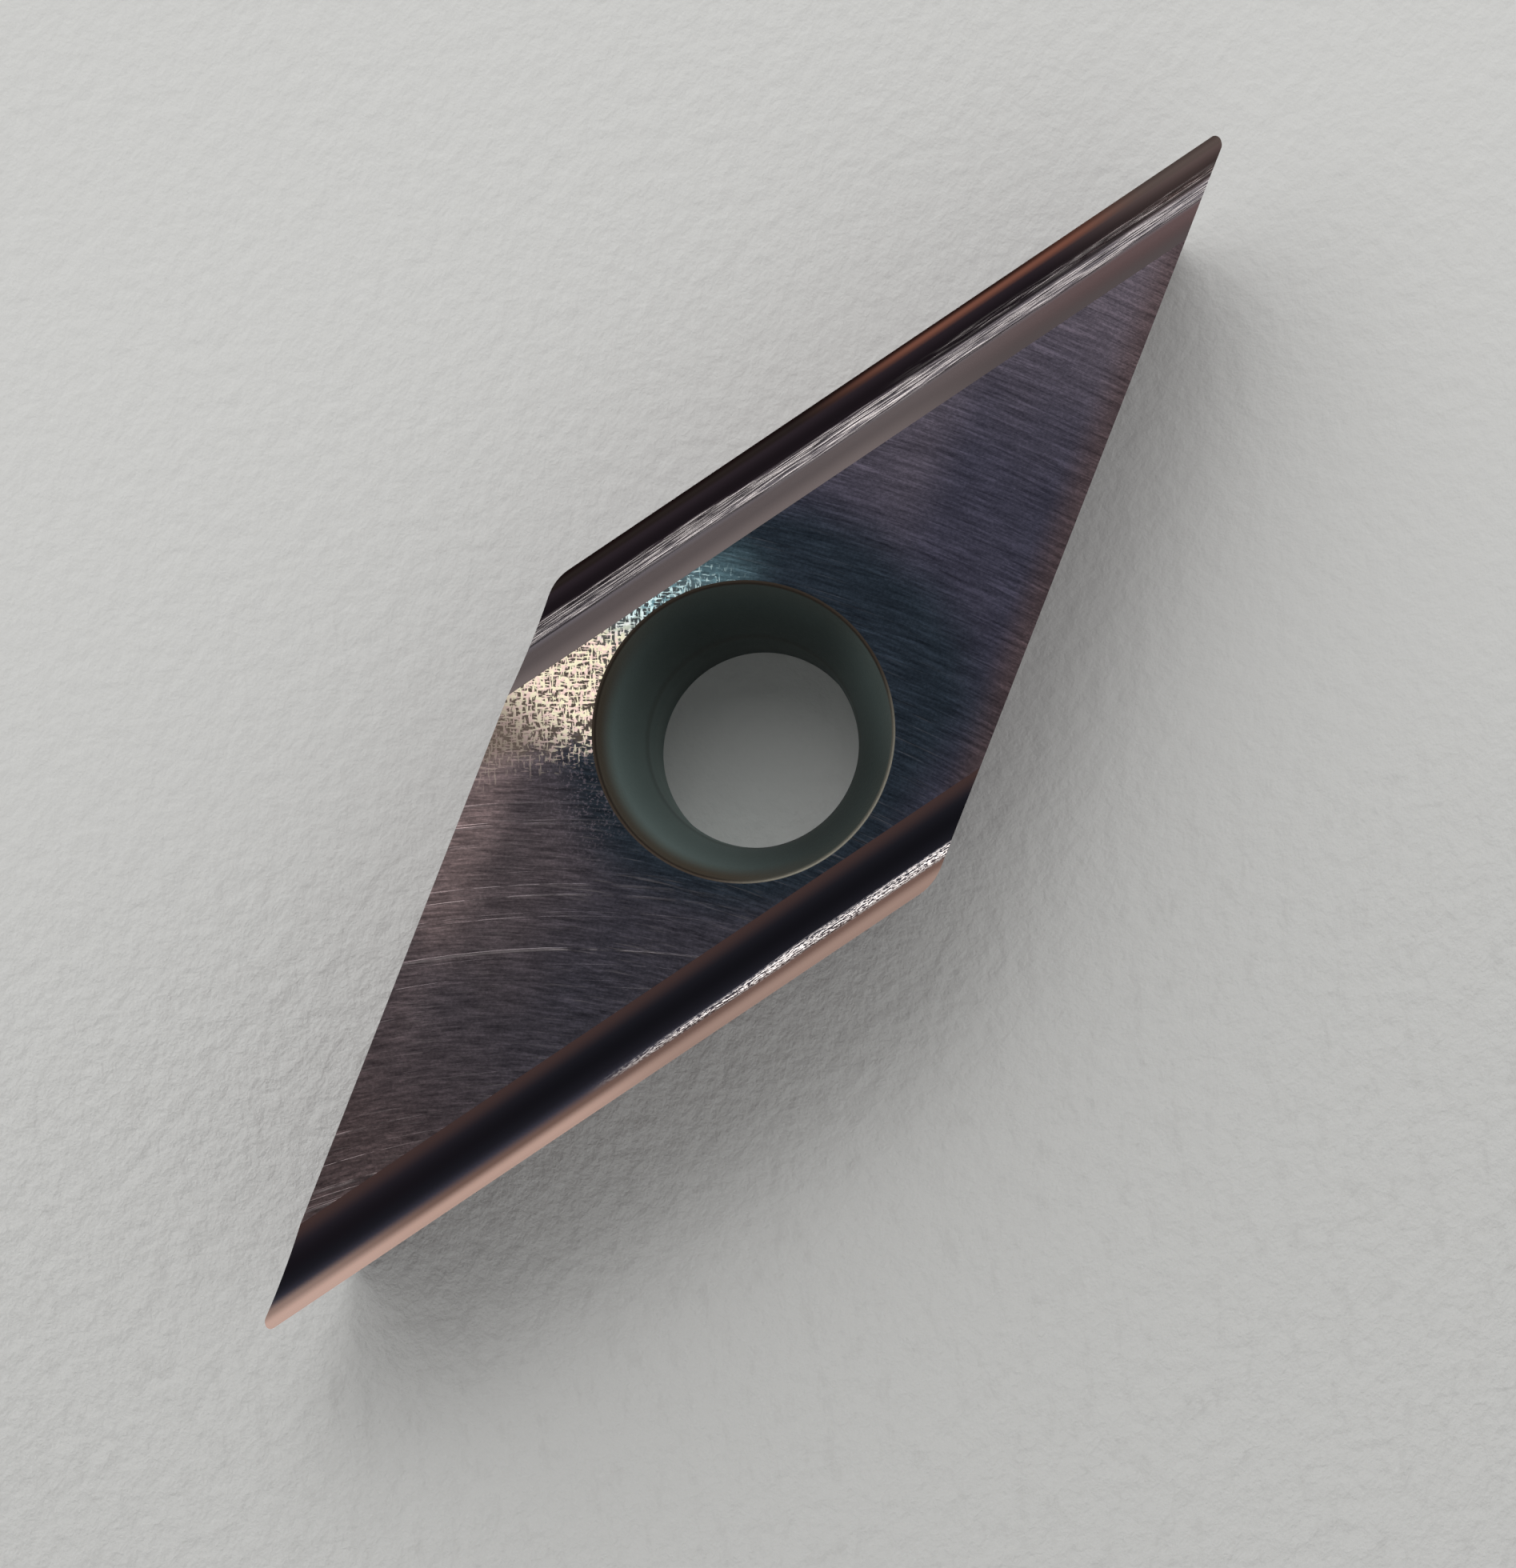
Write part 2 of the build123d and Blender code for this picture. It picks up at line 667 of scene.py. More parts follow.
@dataclass
class InsertBody:
    """The insert's one solid: blank, screw hole and the two grooves, each zone with its finish."""

    blank: Blank = field(default_factory=Blank)
    groove: GrooveForm = field(default_factory=GrooveForm)
    hole: ScrewHole = field(default_factory=ScrewHole)
    steps_along: int = 240
    side_steps: int = 60
    flank_rows: tuple[float, ...] = (0.01, 0.03, 0.08, 0.2, 0.4, 0.6, 0.8, 0.92, 0.98, 1.0)
    rim_margin: float = 0.03
    merge_distance: float = 1e-7
    INSIDE_ONLY: ClassVar[int] = 1
    mesh: bmesh.types.BMesh = field(init=False, repr=False)
    zone: bmesh.types.BMLayerItem = field(init=False, repr=False)
    marked: bmesh.types.BMLayerItem = field(init=False, repr=False)

    def build(
        self, finishes: Mapping[Zone, bpy.types.Material], ridges: "RidgeForm"
    ) -> bpy.types.Object:
        """Builds and dresses the body.

        Args:
            finishes: material of each zone.
            ridges: wheel marks of the groove's floor.

        Returns:
            The finished object.
        """
        self.mesh = bmesh.new()
        self.zone = self.mesh.faces.layers.int.new("zone")
        self.marked = self.mesh.verts.layers.float.new("floor_share")
        halves = self._groove_half(1.0), self._groove_half(-1.0)
        plain_sides = [self._plain_side(*halves), self._plain_side(*reversed(halves))]
        border = [
            vert
            for half, side in zip(halves, plain_sides)
            for vert in [*half.rows[-1], *(point.vert for point in side)]
        ]
        rim = self._hole(border)
        foot = self._flanks(self._outline(halves, plain_sides))
        self._fill(foot, rim, Zone.BASE)
        bmesh.ops.recalc_face_normals(self.mesh, faces=self.mesh.faces)
        for face in self.mesh.faces:
            face.smooth = True
        data = bpy.data.meshes.new("insert_blank")
        self.mesh.to_mesh(data)
        self.mesh.free()
        return ridges.grind(placed("insert_blank", data), finishes, self.blank)

    def _vert(self, x: float, y: float, z: float) -> Vert:
        """New vertex at a place in millimetres, held inside the model's box."""
        bounds = zip((x, y, z), *CAD_BOX)
        return self.mesh.verts.new([min(max(at * MM, low), high) for at, low, high in bounds])

    def _face(self, corners: Iterable[Vert], zone: Zone) -> None:
        """Adds a face to a zone, leaving out doubled corners.

        Args:
            corners: its corners, in order.
            zone: zone that it belongs to.
        """
        kept = list(dict.fromkeys(corners))
        if len(kept) > 2:
            self.mesh.faces.new(kept)[self.zone] = zone.value

    def _groove_half(self, turn: float) -> HalfRake:
        """Grid of one groove.

        Args:
            turn: 1 for the groove on the +X and +Y side, -1 for the one half a turn round.

        Returns:
            The grid's rows and the outline places of their ends.
        """
        blank, groove = self.blank, self.groove
        rows: list[list[Vert]] = []
        ends: list[tuple[Rim, Rim, float]] = []
        for inset in groove.stations(blank.relief):
            drop = groove.drop(inset)
            blunt, sharp = blank.end(inset, drop, False), blank.end(inset, drop, True)
            (x0, y0), (x1, y1) = blank.rim_point(blunt, drop), blank.rim_point(sharp, drop)
            row = []
            for step in range(self.steps_along + 1):
                share = step / self.steps_along
                made = self._vert(
                    turn * lerp(x0, x1, share), turn * lerp(y0, y1, share), blank.thickness - drop
                )
                made[self.marked] = 1.0 if 0 < step < self.steps_along else 0.0
                row.append(made)
            rows.append(row)
            ends.append((blunt, sharp, drop))
        for near, far in zip(rows, rows[1:]):
            for step in range(self.steps_along):
                self._face((near[step], near[step + 1], far[step + 1], far[step]), Zone.GROOVE)
        return HalfRake(rows, ends, turn)

    def _plain_side(self, near: HalfRake, far: HalfRake) -> list[OutlinePoint]:
        """Edge of the rake face between one groove's sharp end and the other's blunt end.

        Args:
            near: half whose sharp corner the side starts at.
            far: half whose blunt corner it runs to.

        Returns:
            The points between the two ends.
        """
        start, stop = near.ends[-1][1].share, far.ends[-1][0].share
        side = []
        for share in spread(start, stop, self.side_steps)[:-1]:
            rim = Rim(Stretch.BEYOND_SHARP, True, share)
            x, y = self.blank.rim_point(rim, 0.0)
            vert = self._vert(near.turn * x, near.turn * y, self.blank.thickness)
            side.append(OutlinePoint(vert, rim, 0.0, near.turn))
        return side

    def _hole(self, border: list[Vert]) -> list[Vert]:
        """Hole with its honed mouth, joined to the rake face.

        Args:
            border: border loop of the flat rake face.

        Returns:
            The hole's last ring, in the base.
        """
        top = self.blank.thickness
        rings = self.hole.rings(top)
        margin = (rings[0][0] + self.rim_margin, top)
        loops = [self._ring(*ring) for ring in [margin, *rings]]
        for index, (near, far) in enumerate(zip(loops, loops[1:])):
            zone = Zone.RAKE if index == 0 else Zone.SEAT
            for step in range(self.hole.around):
                after = (step + 1) % self.hole.around
                self._face((near[step], near[after], far[after], far[step]), zone)
        self._fill(border, loops[0], Zone.RAKE)
        return loops[-1]

    def _ring(self, radius: float, height: float) -> list[Vert]:
        """Ring of vertices about the axis."""
        turns = (2 * math.pi * step / self.hole.around for step in range(self.hole.around))
        return [self._vert(radius * math.cos(at), radius * math.sin(at), height) for at in turns]

    def _fill(self, outer: list[Vert], inner: list[Vert], zone: Zone) -> None:
        """Fills the flat between an outer loop and the hole.

        Args:
            outer: outer loop.
            inner: loop round the hole.
            zone: zone of the new faces.
        """
        verts = [*outer, *inner]
        count = len(outer)
        edges = [(step, (step + 1) % count) for step in range(count)]
        edges += [(count + step, count + (step + 1) % len(inner)) for step in range(len(inner))]
        flat = [Vector((vert.co.x / MM, vert.co.y / MM)) for vert in verts]
        filled = delaunay_2d_cdt(flat, edges, [], self.INSIDE_ONLY, self.merge_distance)
        faces, origins = filled[2:4]
        inside = (inner[0].co.xy.length / MM) ** 2
        for face in faces:
            names = [origins[index][0] for index in face]
            middle = sum((flat[name] for name in names), Vector((0.0, 0.0))) / len(names)
            if all(name >= count for name in names) and middle.length_squared < inside:
                continue
            self._face([verts[name] for name in names], zone)

    def _outline(
        self, halves: Sequence[HalfRake], plain_sides: Sequence[list[OutlinePoint]]
    ) -> list[OutlinePoint]:
        """Whole outline of the rake face, in order.

        Args:
            halves: the two grooves' grids.
            plain_sides: points of the plain side after each groove.

        Returns:
            The outline's points.
        """
        outline: list[OutlinePoint] = []
        for half, side in zip(halves, plain_sides):
            ends = list(zip(half.rows, half.ends))
            for row, (blunt, _, drop) in reversed(ends):
                outline.append(OutlinePoint(row[0], blunt, drop, half.turn))
            edge_drop = half.ends[0][2]
            for step in range(1, self.steps_along):
                rim = Rim(Stretch.GROOVED, False, step / self.steps_along)
                outline.append(OutlinePoint(half.rows[0][step], rim, edge_drop, half.turn))
            for row, (_, sharp, drop) in ends:
                outline.append(OutlinePoint(row[-1], sharp, drop, half.turn))
            outline += side
        return outline

    def _flanks(self, outline: list[OutlinePoint]) -> list[Vert]:
        """Flanks and rounded corners, down to the base.

        Args:
            outline: outline of the rake face.

        Returns:
            The outline's foot, in the base.
        """
        thickness = self.blank.thickness
        last = [point.vert for point in outline]
        for share in self.flank_rows:
            now = []
            for point in outline:
                drop = lerp(point.drop, thickness, share)
                x, y = self.blank.rim_point(point.rim, drop)
                now.append(self._vert(point.turn * x, point.turn * y, thickness - drop))
            for step in range(len(now)):
                after = (step + 1) % len(now)
                self._face((last[step], last[after], now[after], now[step]), Zone.FLANK)
            last = now
        return last


@dataclass(frozen=True)
class RidgeForm:
    """Ridges that the wheel leaves along the groove's floor, in millimetres."""

    height: float = 0.0020
    pitch: float = 0.026
    length: float = 2.0
    leading: Pair = (0.30, 0.62)
    trailing: Pair = (0.22, 0.35)
    trailing_run: float = 4.6
    blend: float = 0.05
    seed: float = 4.0
    sharp_angle: float = 18.0

    def _inputs(self) -> dict[str, float]:
        """Sizes of the tree.

        Returns:
            Each size by the name of the input that takes it.
        """
        return {
            "Ridge height": self.height, "Ridge pitch": self.pitch, "Ridge length": self.length,
            "Leading start": self.leading[0], "Leading stop": self.leading[1],
            "Trailing start": self.trailing[0], "Trailing stop": self.trailing[1],
            "Trailing run": self.trailing_run, "Blend": self.blend, "Seed": self.seed,
        }

    def _tree(self, blank: Blank) -> bpy.types.NodeTree:
        """Tree that raises the ridges and gives each zone its finish.

        Args:
            blank: sizes of the blank, for the groove's direction.

        Returns:
            The tree.
        """
        tree = bpy.data.node_groups.new("ground_ridges", "GeometryNodeTree")
        face = tree.interface
        face.new_socket("Geometry", in_out="INPUT", socket_type="NodeSocketGeometry")
        face.new_socket("Geometry", in_out="OUTPUT", socket_type="NodeSocketGeometry")
        for name in self._inputs():
            face.new_socket(name, in_out="INPUT", socket_type="NodeSocketFloat")
        for zone in Zone:
            face.new_socket(zone.input, in_out="INPUT", socket_type="NodeSocketMaterial")
        graph = Graph(tree)
        given = graph.node("NodeGroupInput").outputs
        sizes = {socket.name: Field(graph, socket) for socket in given if socket.type == "VALUE"}
        place = graph.in_millimetres(graph.value("GeometryNodeInputPosition"))
        out = graph.dot(place, (*blank.outward, 0.0))
        inset = blank.reach - abs(out)
        run = graph.dot(place, (*blank.along, 0.0))
        streak = graph.streaks(
            run / sizes["Ridge length"], inset / sizes["Ridge pitch"], sizes["Seed"]
        )
        share = self._share(graph, out, inset, run, sizes)
        attribute = "GeometryNodeInputNamedAttribute"
        marked = graph.value(attribute, {"data_type": "FLOAT"}, {"Name": "floor_share"})
        lift = (streak - 0.5) * sizes["Ridge height"] * share * marked * MM * 2
        inputs = {"Geometry": given["Geometry"], "Offset": graph.vector(0.0, 0.0, lift)}
        moved = graph.value("GeometryNodeSetPosition", None, inputs)
        zone_of = graph.value(attribute, {"data_type": "INT"}, {"Name": "zone"})
        shape = graph.value("GeometryNodeRealizeInstances", None, {"Geometry": moved})
        equal = {"data_type": "INT", "operation": "EQUAL"}
        for zone in Zone:
            both = {WHOLE_FIRST: zone_of, WHOLE_SECOND: zone.value}
            chosen = graph.value("FunctionNodeCompare", equal, both)
            inputs = {"Geometry": shape, "Selection": chosen, "Material": given[zone.input]}
            shape = graph.value("GeometryNodeSetMaterial", None, inputs)
        graph.node("NodeGroupOutput", None, {"Geometry": shape})
        return tree

    @staticmethod
    def _share(
        graph: Graph, out: Field, inset: Field, run: Field, sizes: Mapping[str, Field]
    ) -> Field:
        """Share of the full ridge height, none on lands, back walls and the far trailing groove.

        Args:
            graph: tree to add to.
            out: distance from the axis towards the leading groove.
            inset: distance in from the nearer grooved side.
            run: distance along the leading groove.
            sizes: the tree's own sizes.

        Returns:
            The share, from 0 to 1.
        """
        lead = graph.math("GREATER_THAN", out, 0.0)
        start = sizes["Trailing start"] + (sizes["Leading start"] - sizes["Trailing start"]) * lead
        stop = sizes["Trailing stop"] + (sizes["Leading stop"] - sizes["Trailing stop"]) * lead
        across = ((inset - start) / sizes["Blend"]).least((stop - inset) / sizes["Blend"])
        along = (sizes["Trailing run"] + run).most(lead)
        return across.least(along).least(1.0).most(0.0)

    def grind(
        self, rough: bpy.types.Object, finishes: Mapping[Zone, bpy.types.Material], blank: Blank
    ) -> bpy.types.Object:
        """Grinds the ridges into a rough body and turns the result into a plain mesh.

        Args:
            rough: body before grinding.
            finishes: material of each zone.
            blank: sizes of the blank, for the groove's direction.

        Returns:
            The ground body.
        """
        modifier = rough.modifiers.new("ground_ridges", "NODES")
        tree = self._tree(blank)
        modifier.node_group = tree
        wanted = {**self._inputs(), **{zone.input: finishes[zone] for zone in Zone}}
        for item in tree.interface.items_tree:
            if item.in_out == "INPUT" and item.name in wanted:
                modifier[item.identifier] = wanted[item.name]
        graph = bpy.context.evaluated_depsgraph_get()
        data = bpy.data.meshes.new_from_object(rough.evaluated_get(graph), depsgraph=graph)
        bpy.data.objects.remove(rough)
        data.name = "coated_insert"
        data.set_sharp_from_angle(angle=math.radians(self.sharp_angle))
        return placed("coated_insert", data)


# ----------------------------------------------------------------- finishes


class Finish:
    """Procedural finish, on object coordinates in millimetres."""

    name: ClassVar[str]
    relief_height: ClassVar[float]
    roughness: ClassVar[float]
    swing: ClassVar[float] = 0.0
    bump_strength: ClassVar[float] = 1.0
    shading: ClassVar[Mapping[str, float]] = {"Metallic": 1.0}

    def material(self) -> bpy.types.Material:
        """Builds the material.

        Returns:
            The material.
        """
        made = bpy.data.materials.new(self.name)
        made.use_nodes = True
        made.node_tree.nodes.clear()
        graph = Graph(made.node_tree)
        place = graph.in_millimetres(graph.value("ShaderNodeTexCoord", None, None, "Object"))
        colour, roughness, relief = self.surface(graph, place)
        height = self.relief_height * MM
        bump = {"Strength": self.bump_strength, "Distance": height, "Height": relief}
        normal = graph.value("ShaderNodeBump", None, bump, "Normal")
        inputs = {"Base Color": colour, "Roughness": roughness, "Normal": normal, **self.shading}
        shader = graph.node("ShaderNodeBsdfPrincipled", None, inputs)
        graph.node("ShaderNodeOutputMaterial", None, {"Surface": shader.outputs[0]})
        return made

    def surface(self, graph: Graph, place: Field) -> Surface:
        """Colour, roughness and relief at a place, which each finish gives."""
        raise NotImplementedError

    def uneven(self, marks: Field) -> Field:
        """Roughness that swings with the marks."""
        return self.roughness + (marks - 0.5) * self.swing


def parts_of(graph: Graph, place: Field) -> tuple[Field, Field, Field]:
    """x, y and z of a place."""
    return graph.dot(place, (1, 0, 0)), graph.dot(place, (0, 1, 0)), graph.dot(place, (0, 0, 1))


@dataclass(frozen=True)
class RakeFinish(Finish):
    """Ground rake face: curved wheel marks under a violet coating, with tints round the hole.
    The tints are partly painted reflection, and a patch beside the hole is a painted glint.

    Marks are counted for each millimetre across and along their arcs. A pair named for a tint
    holds the two places, in millimetres, between which the tint comes in. A level holds the two
    values of a noise between which its marks show.
    """

    name = "ground_rake_face"
    relief_height = 0.005
    roughness = 0.34
    swing = 0.3
    blank: Blank = field(default_factory=Blank)
    wheel_centre: Pair = (-12.3, -5.3)
    dresser_centre: Pair = (-14.0, -8.2)
    mean_radius: float = 14.0
    fine_marks: Pair = (24.0, 2.0)
    long_marks: Pair = (7.0, 0.6)
    stroke_marks: Pair = (15.0, 1.4)
    hair_marks: Pair = (26.0, 0.7)
    dresser_marks: Pair = (12.0, 0.05)
    scratch_x: Pair = (-1.4, -4.0)
    scratch_level: Pair = (0.57, 0.66)
    scratch_patch_level: Pair = (0.36, 0.54)
    scratch_share: float = 0.32
    hair_x: Pair = (4.0, -1.0)
    hair_level: Pair = (0.57, 0.72)
    hair_share: float = 0.20
    most_scratched: float = 0.6
    mauve_x: Pair = (0.2, -3.8)
    mauve_inset: Pair = (2.6, 0.7)
    mauve_tip_x: Pair = (-4.0, -7.5)
    gap_x: Pair = (-4.4, -5.4)
    gap_end_x: Pair = (-7.8, -6.4)
    slate_x: Pair = (0.5, -3.0)
    umber_x: Pair = (-5.0, -8.0)
    lilac_x: Pair = (4.5, 9.0)
    lilac_back_x: Pair = (2.5, 4.5)
    lilac_back_inset: Pair = (1.6, 2.4)
    rose_inset: Pair = (0.95, 0.1)
    rose_x: Pair = (-7.5, -2.5)
    edge_inset: Pair = (0.50, 0.0)
    edge_x: Pair = (-3.0, 1.0)
    ring_reach: Pair = (2.9, 2.1)
    ring_shift_x: Pair = (0.5, 2.5)
    cap_reach: Pair = (2.95, 2.0)
    cap_right_x: Pair = (2.5, 0.4)
    cap_left_x: Pair = (-0.9, 0.2)
    cap_y: Pair = (0.8, 1.6)
    patch_way: Pair = (0.62, 0.78)
    patch_across: Pair = (-0.15, 0.85)
    patch_x: Pair = (0.5, -0.1)
    patch_bright_x: Pair = (-2.20, -1.20)
    patch_dim_x: Pair = (0.6, 1.6)
    patch_dullness: float = 0.26
    crescent_reach: Pair = (2.75, 2.10)
    crescent_x: Pair = (1.9, 0.6)
    weave_way: Pair = (0.63, 0.775)
    weft_marks: Pair = (25.0, 6.0)
    warp_marks: Pair = (23.0, 6.5)
    fleck_level: Pair = (0.495, 0.545)
    warm_level: Pair = (0.44, 0.58)
    cold_level: Pair = (0.40, 0.60)
    spark_level: Pair = (0.56, 0.64)
    rosy_x: Pair = (-1.2, -2.2)
    cold_x: Pair = (-0.35, 0.55)
    stray_reach: Pair = (3.3, 2.3)
    stray_x: Pair = (-0.9, -1.5)
    stray_y: Pair = (0.2, 0.9)
    navy_x: Pair = (-0.4, 0.4)
    indigo: Colour = (0.060, 0.058, 0.086)
    lilac: Colour = (0.185, 0.152, 0.180)
    slate: Colour = (0.061, 0.057, 0.072)
    mauve: Colour = (0.124, 0.098, 0.103)
    rose: Colour = (0.400, 0.290, 0.280)
    umber: Colour = (0.105, 0.070, 0.068)
    navy: Colour = (0.022, 0.033, 0.045)
    teal: Colour = (0.185, 0.330, 0.375)
    # Hues of the painted glint patch; the dark colour after them is painted shade between its
    # flecks.
    cream: Colour = (0.990, 0.920, 0.690)
    blush: Colour = (0.980, 0.760, 0.690)
    ice: Colour = (0.760, 0.980, 0.990)
    glint_gap_shade: Colour = (0.13, 0.10, 0.075)
    scratch: Colour = (0.360, 0.320, 0.320)
    tones: Stops = (
        (0.38, (0.58, 0.58, 0.60)),
        (0.50, (1.00, 1.00, 1.00)),
        (0.62, (1.62, 1.58, 1.58)),
    )

    def surface(self, graph: Graph, place: Field) -> Surface:
        """Wheel marks, tints and the painted glint patch of the rake face.

        Args:
            graph: tree to add to.
            place: coordinates in millimetres.

        Returns:
            Colour, roughness, and relief as a share of the relief's height.
        """
        x, y, _ = parts_of(graph, place)
        fine = self._arcs(graph, x, y, self.wheel_centre, self.fine_marks)
        long = self._arcs(graph, x, y, self.wheel_centre, self.long_marks)
        crossed = self._arcs(graph, x, y, self.dresser_centre, self.dresser_marks)
        grain = graph.noise(place, 26.0, 3.0, 0.7)
        blotch = graph.noise(place, 2.6, 3.0, 0.6)
        scratch = crossed.rise(*self.scratch_level) * blotch.rise(*self.scratch_patch_level)
        scratch = scratch * x.rise(*self.scratch_x)
        hair = self._arcs(graph, x, y, self.wheel_centre, self.hair_marks)
        hair = hair.rise(*self.hair_level) * x.rise(*self.hair_x)
        stroke = self._arcs(graph, x, y, self.wheel_centre, self.stroke_marks)
        mark = fine * 0.30 + long * 0.15 + stroke * 0.30 + grain * 0.25
        colour = self._tint(graph, place, x, y)
        colour = graph.mix(1.0, colour, graph.ramp(mark, self.tones), "MULTIPLY")
        scratched = scratch * self.scratch_share + hair * self.hair_share
        colour = graph.mix(scratched.least(self.most_scratched), colour, self.scratch)
        # Painted glint beside the hole, with painted shade between its flecks.
        colour, painted_glint, chips = self._painted_glint(graph, place, x, y, colour)
        roughness = self.uneven(mark) + painted_glint * self.patch_dullness
        return colour, roughness, mark * (1.0 - painted_glint * 0.8) + scratch * 0.3 + chips

    def _arcs(self, graph: Graph, x: Field, y: Field, centre: Pair, marks: Pair) -> Field:
        """Streaks on arcs about a centre.

        Args:
            graph: tree to add to.
            x: x of the place.
            y: y of the place.
            centre: centre of the arcs.
            marks: streaks for each millimetre of radius and of arc.

        Returns:
            Noise drawn out along the arcs.
        """
        across, along = marks
        dx, dy = x - centre[0], y - centre[1]
        radius = graph.math("SQRT", dx * dx + dy * dy)
        arc = graph.math("ARCTAN2", dy, dx) * self.mean_radius
        return graph.streaks(radius * across, arc * along, across, 3.0, 0.62)

    def _tint(self, graph: Graph, place: Field, x: Field, y: Field) -> Field:
        """Slow change of the coating's tint over the face, partly its own colour and partly
        painted reflection.

        Args:
            graph: tree to add to.
            place: coordinates in millimetres.
            x: x of the place.
            y: y of the place.

        Returns:
            The tint.
        """
        leaning = graph.dot(place, (-self.blank.outward[0], self.blank.outward[1], 0.0))
        plain = self.blank.reach - abs(leaning)
        drift = graph.noise(place, 0.8, 2.0, 0.5) - 0.5
        near_side = (plain + drift).rise(*self.mauve_inset) * 0.8 + x.rise(*self.mauve_tip_x) * 0.2
        left = (x + drift * 2.0).rise(*self.mauve_x) * near_side
        left = left * (1.0 - x.rise(*self.gap_x) * x.rise(*self.gap_end_x) * 0.5)
        colour = graph.mix(x.rise(*self.slate_x), self.indigo, self.slate)
        colour = graph.mix(left, colour, self.mauve)
        colour = graph.mix(x.rise(*self.umber_x) * 0.5, colour, self.umber)
        colour = graph.mix((x + drift * 1.5).rise(*self.lilac_x) * 0.9, colour, self.lilac)
        back = x.rise(*self.lilac_back_x) * plain.rise(*self.lilac_back_inset)
        colour = graph.mix(back * 0.35, colour, self.lilac)
        near_left = (plain + drift * 0.5).rise(*self.rose_inset) * left * x.rise(*self.rose_x)
        colour = graph.mix(near_left * 0.75, colour, self.rose)
        edge = plain.rise(*self.edge_inset) * (x.rise(*self.edge_x) * 0.60 + 0.15)
        colour = graph.mix(edge, colour, self.umber)
        hole = graph.math("SQRT", x * x + y * y)
        ring = (hole + drift * 0.4 - x.rise(*self.ring_shift_x) * 0.7).rise(*self.ring_reach)
        colour = graph.mix(ring * 0.9, colour, self.navy)
        cap = (hole + drift * 0.8).rise(*self.cap_reach) * x.rise(*self.cap_right_x)
        cap = cap * y.rise(*self.cap_y) * x.rise(*self.cap_left_x)
        return graph.mix(cap, colour, self.teal)

    def _painted_glint(
        self, graph: Graph, place: Field, x: Field, y: Field, colour: Field
    ) -> tuple[Field, Field, Field]:
        """Painted glint: a patch of pale flecks with painted shade between them, between the hole,
        the groove and the plain side.

        Args:
            graph: tree to add to.
            place: coordinates in millimetres.
            x: x of the place.
            y: y of the place.
            colour: colour without the patch.

        Returns:
            Colour with the patch, the patch's strength and its relief.
        """
        ragged = graph.noise(place, 5.0, 4.0, 0.65) - 0.5
        hole = graph.math("SQRT", x * x + y * y)
        across = x * self.patch_way[0] + y * self.patch_way[1]
        open_side = (x + ragged * 0.4).rise(*self.patch_x)
        crescent = (hole + ragged * 0.5).rise(*self.crescent_reach) * x.rise(*self.crescent_x)
        open_side = open_side.most(crescent * 0.85)
        body = (across + ragged * 0.6).rise(*self.patch_across) * open_side
        short, long = self.weave_way
        level, rising = x * short - y * long, x * long + y * short
        weft = graph.streaks(level * self.weft_marks[1], rising * self.weft_marks[0], 3.0)
        warp = graph.streaks(rising * self.warp_marks[1], level * self.warp_marks[0], 9.0)
        fleck = weft.most(warp)
        hue = graph.streaks(x * 14.0, y * 14.0, 15.0, rough=0.5)
        warm = graph.mix(hue.rise(*self.warm_level), self.cream, self.blush)
        cold = graph.mix(hue.rise(*self.cold_level), self.teal, self.ice)
        warm = graph.mix(x.rise(*self.rosy_x) * 0.6, warm, self.rose)
        glint_hue = graph.mix((x + ragged * 0.9).rise(*self.cold_x), warm, cold)
        bright = x.rise(*self.patch_bright_x) * 0.72 + 0.28
        lit = (fleck - (1.0 - body) * 0.10).rise(*self.fleck_level) * body.rise(0.0, 0.25)
        lit = lit * bright * (1.0 - x.rise(*self.patch_dim_x) * 0.5)
        # Stray sparks round the hole: sparse painted glints.
        stray = (hole + ragged).rise(*self.stray_reach) * x.rise(*self.stray_x)
        stray = stray * y.rise(*self.stray_y) * body.rise(1.0, 0.6)
        sparks = graph.noise(place, 26.0, 2.0, 0.6).rise(*self.spark_level) * stray
        # Painted shade between the flecks, then navy and lilac sparks of painted glint.
        shade = graph.mix(body.rise(0.2, 0.9) * 0.8, colour, self.glint_gap_shade)
        shade = graph.mix(x.rise(*self.navy_x) * body * 0.8, shade, self.navy)
        shade = graph.mix(sparks * 0.55, shade, self.lilac)
        return graph.mix(lit, shade, glint_hue), body, fleck * body * 1.4


@dataclass(frozen=True)
class Bands:
    """Tints across one chip groove, from the cutting edge inwards: the coating's colour with
    painted light and shade, each band lighter or darker by how it faces the lamps, and painted
    glints on the floor.
    """

    land: tuple[Colour, Colour, Colour]
    slope: tuple[Colour, Colour]
    floor: Colour
    wall: tuple[Colour, Colour]
    border: tuple[Colour, Colour]
    slope_inset: Pair
    glint_inset: Pair
    wall_inset: Pair
    glint_runs: Pair
    blunt_shift: Pair
    edge_shade: float


# Leading groove: painted shade on the land and slope, which face away from the lamps, and a paler
# back wall that faces them.
LEADING_TINT_AND_LIGHT = Bands(
    land=((0.030, 0.022, 0.020), (0.262, 0.106, 0.073), (0.150, 0.112, 0.100)),
    slope=((0.042, 0.030, 0.038), (0.175, 0.122, 0.115)),
    floor=(0.090, 0.080, 0.088),
    wall=((0.056, 0.046, 0.046), (0.050, 0.033, 0.033)),
    border=((0.100, 0.082, 0.080), (0.054, 0.044, 0.044)),
    slope_inset=(0.09, 0.16),
    glint_inset=(0.39, 0.60),
    wall_inset=(0.56, 0.66),
    glint_runs=(21.0, 20.0),
    blunt_shift=(0.04, 0.04),
    edge_shade=0.92,
)
